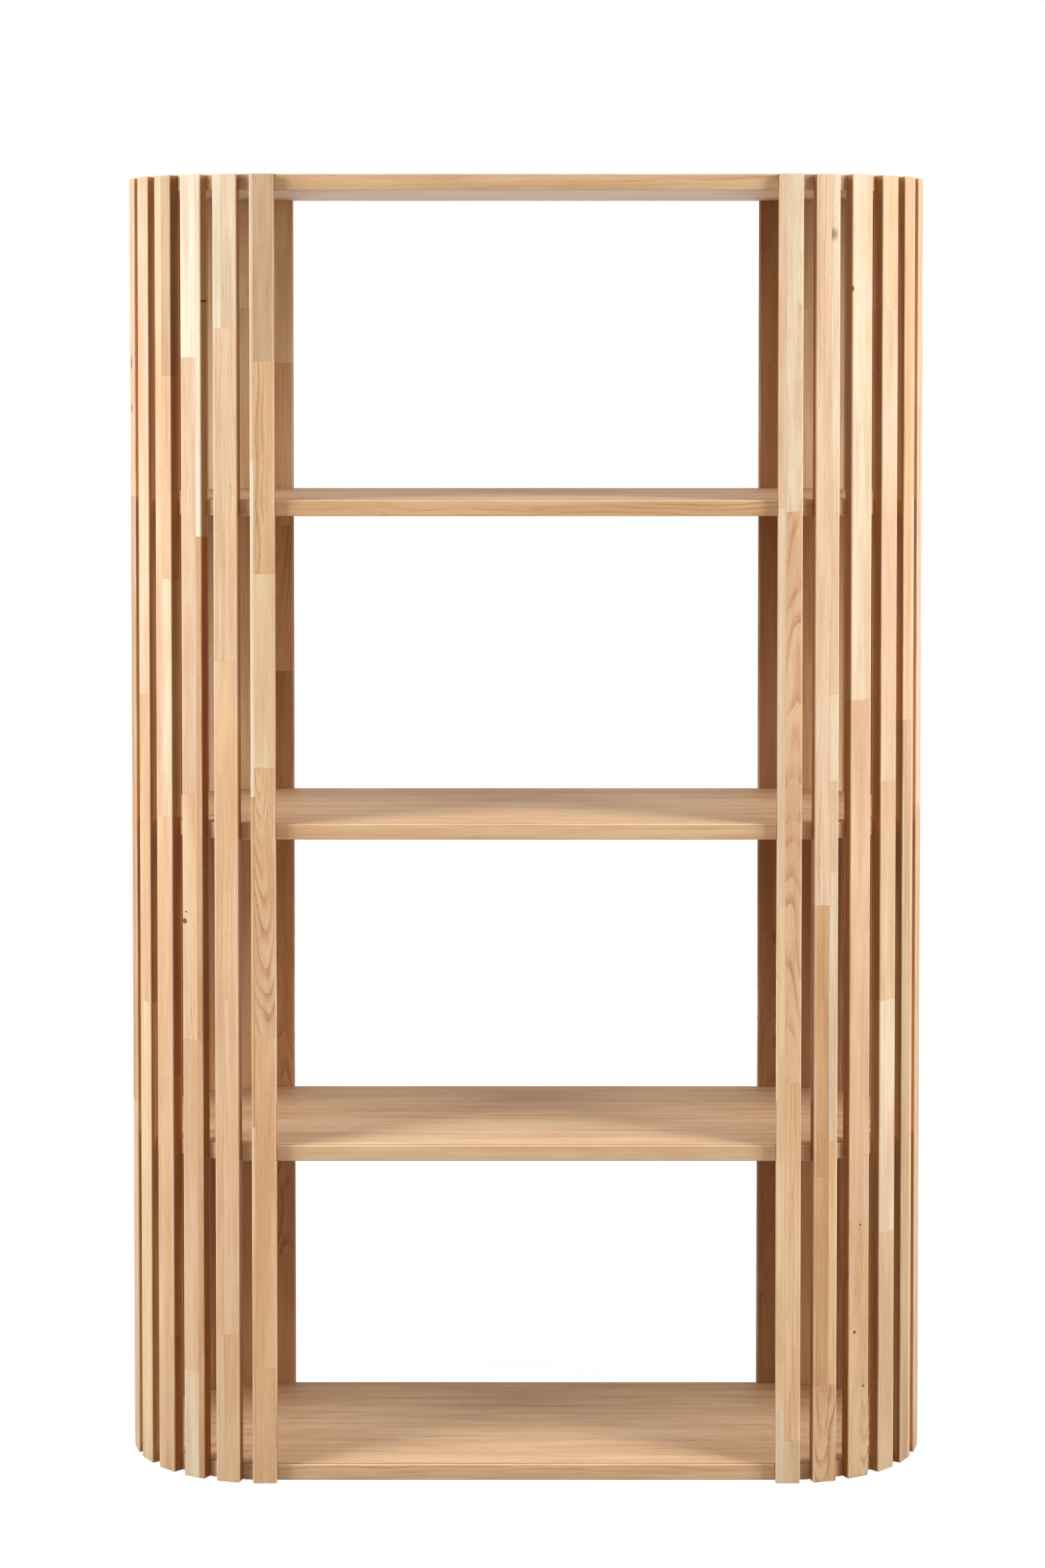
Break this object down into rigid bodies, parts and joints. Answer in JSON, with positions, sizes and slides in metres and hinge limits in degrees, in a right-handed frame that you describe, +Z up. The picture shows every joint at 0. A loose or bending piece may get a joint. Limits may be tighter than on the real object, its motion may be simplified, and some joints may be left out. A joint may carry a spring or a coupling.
{
  "type": "bookcase",
  "caption": "Free-standing open bookcase in light oak: stadium-shaped shelves let into upright slats that curve round both half-round ends, open at front and back.",
  "frame": {"origin": "on the floor, under the middle of the bookcase", "axes": "+Z up, +X to the right seen from the front, the front faces -Y"},
  "size_m": [1.12, 0.4, 1.8],
  "materials": {
    "oak_slat": "light oiled oak, satin",
    "oak_shelf": "light oiled oak, satin",
    "beech_dowel": "plain beech"
  },
  "bodies": {
    "root": {"shelf_1": "oak_shelf", "shelf_2": "oak_shelf", "shelf_3": "oak_shelf", "shelf_4": "oak_shelf", "shelf_5": "oak_shelf", "left_front_post": "oak_slat", "left_slat_01": "oak_slat", "left_slat_02": "oak_slat", "left_slat_03": "oak_slat", "left_slat_04": "oak_slat", "left_slat_05": "oak_slat", "left_slat_06": "oak_slat", "left_slat_07": "oak_slat", "left_slat_08": "oak_slat", "left_slat_09": "oak_slat", "left_slat_10": "oak_slat", "left_slat_11": "oak_slat", "left_back_post": "oak_slat", "right_front_post": "oak_slat", "right_slat_01": "oak_slat", "right_slat_02": "oak_slat", "right_slat_03": "oak_slat", "right_slat_04": "oak_slat", "right_slat_05": "oak_slat", "right_slat_06": "oak_slat", "right_slat_07": "oak_slat", "right_slat_08": "oak_slat", "right_slat_09": "oak_slat", "right_slat_10": "oak_slat", "right_slat_11": "oak_slat", "right_back_post": "oak_slat", "left_front_dowel_1": "beech_dowel", "left_front_dowel_2": "beech_dowel", "left_front_dowel_3": "beech_dowel", "left_front_dowel_4": "beech_dowel", "left_front_dowel_5": "beech_dowel", "left_back_dowel_1": "beech_dowel", "left_back_dowel_2": "beech_dowel", "left_back_dowel_3": "beech_dowel", "left_back_dowel_4": "beech_dowel", "left_back_dowel_5": "beech_dowel", "right_front_dowel_1": "beech_dowel", "right_front_dowel_2": "beech_dowel", "right_front_dowel_3": "beech_dowel", "right_front_dowel_4": "beech_dowel", "right_front_dowel_5": "beech_dowel", "right_back_dowel_1": "beech_dowel", "right_back_dowel_2": "beech_dowel", "right_back_dowel_3": "beech_dowel", "right_back_dowel_4": "beech_dowel", "right_back_dowel_5": "beech_dowel"}
  },
  "joints": []
}
